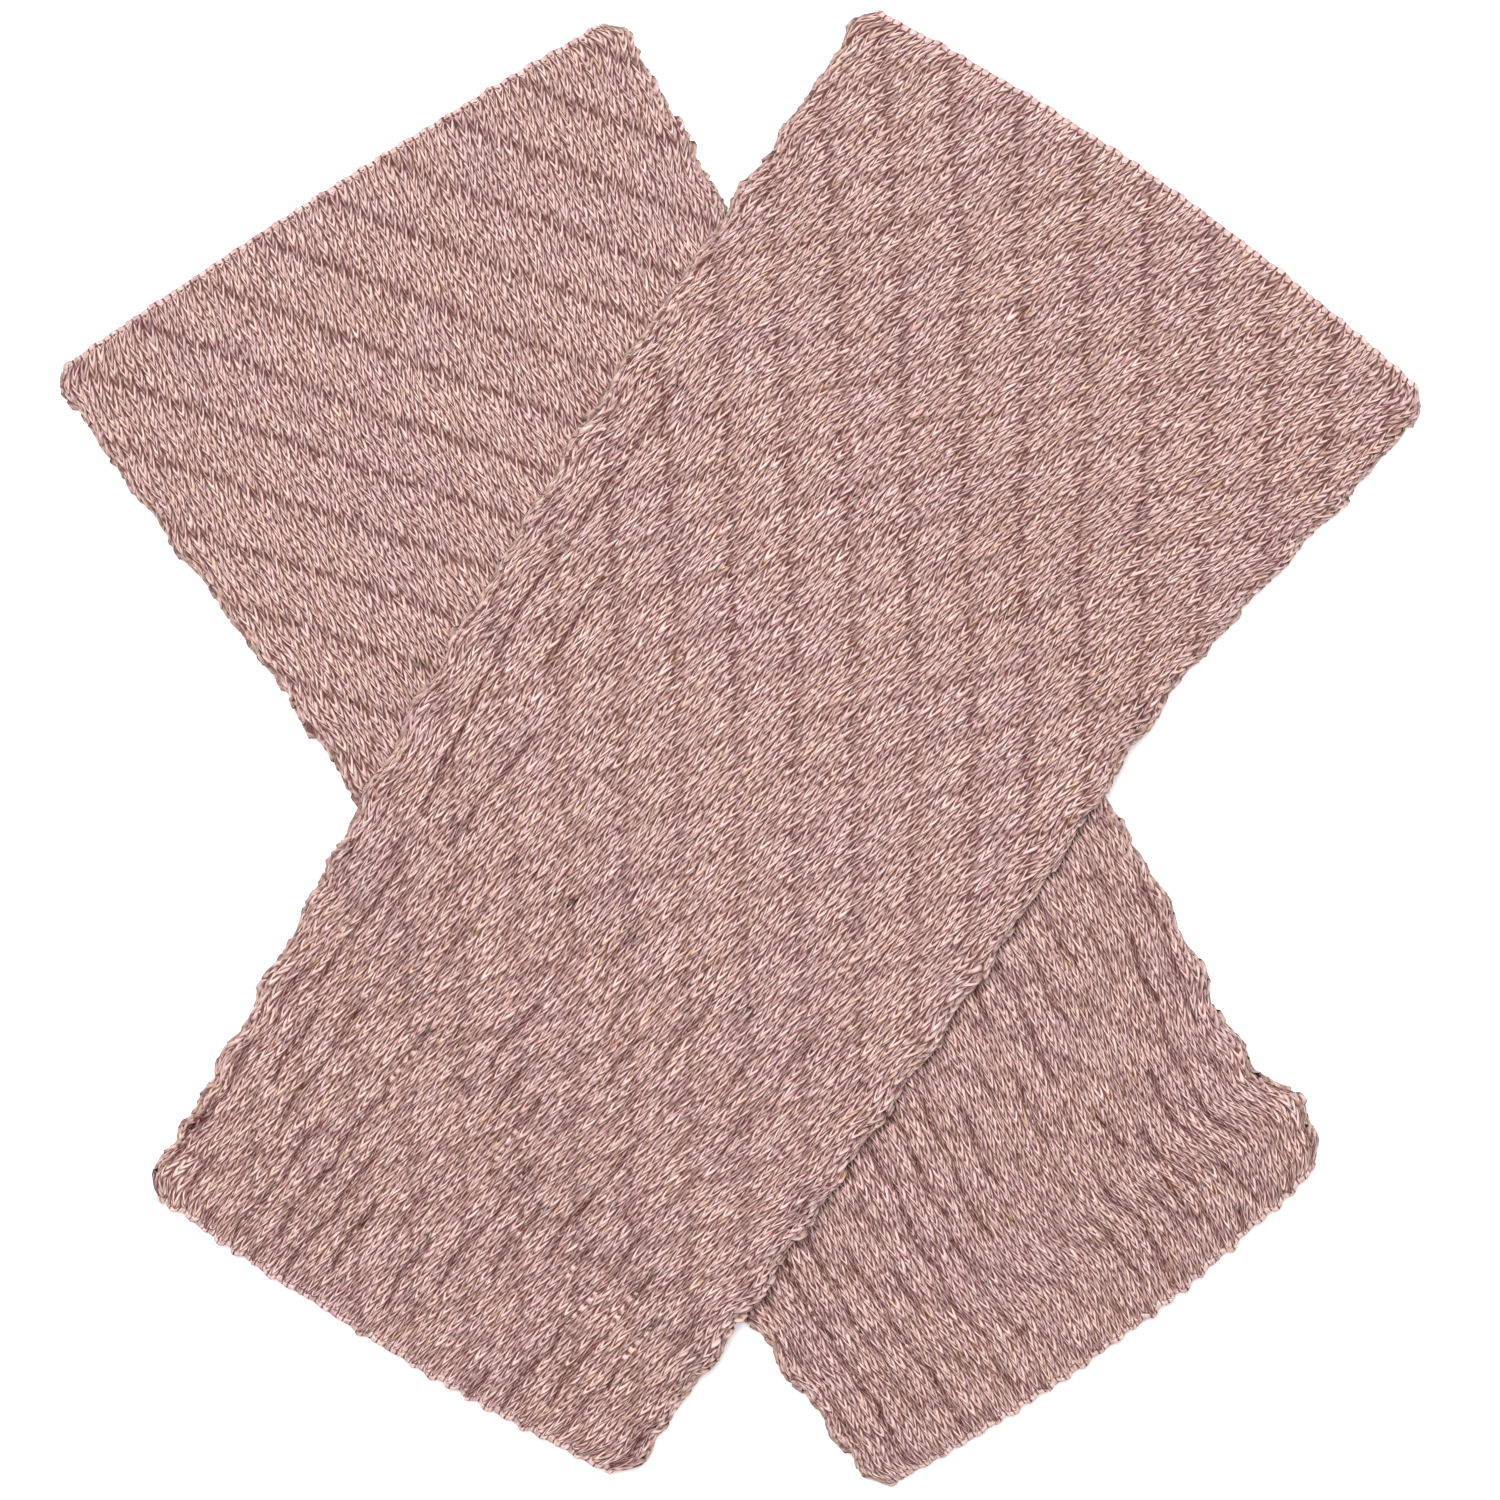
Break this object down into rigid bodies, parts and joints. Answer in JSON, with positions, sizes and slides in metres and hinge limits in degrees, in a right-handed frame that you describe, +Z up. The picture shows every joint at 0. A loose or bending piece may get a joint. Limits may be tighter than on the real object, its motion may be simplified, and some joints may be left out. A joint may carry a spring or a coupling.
{
  "type": "pair of ankle warmers",
  "caption": "Knitted ankle warmers laid flat and crossed, each a seamless open-ended tube, wider at the calf end, in a puffed diamond lattice knit.",
  "frame": {"origin": "on the surface that the pair lies on, under the middle of the pair's outline seen from above", "axes": "+Z up from the surface; +Y towards the wide ends of both warmers, between their two directions; +X to the right"},
  "size_m": [0.233, 0.2525, 0.0109],
  "materials": {
    "rose_knit": "matt melange knit"
  },
  "bodies": {
    "root": {"lower_warmer": "rose_knit", "upper_warmer": "rose_knit"}
  },
  "joints": []
}
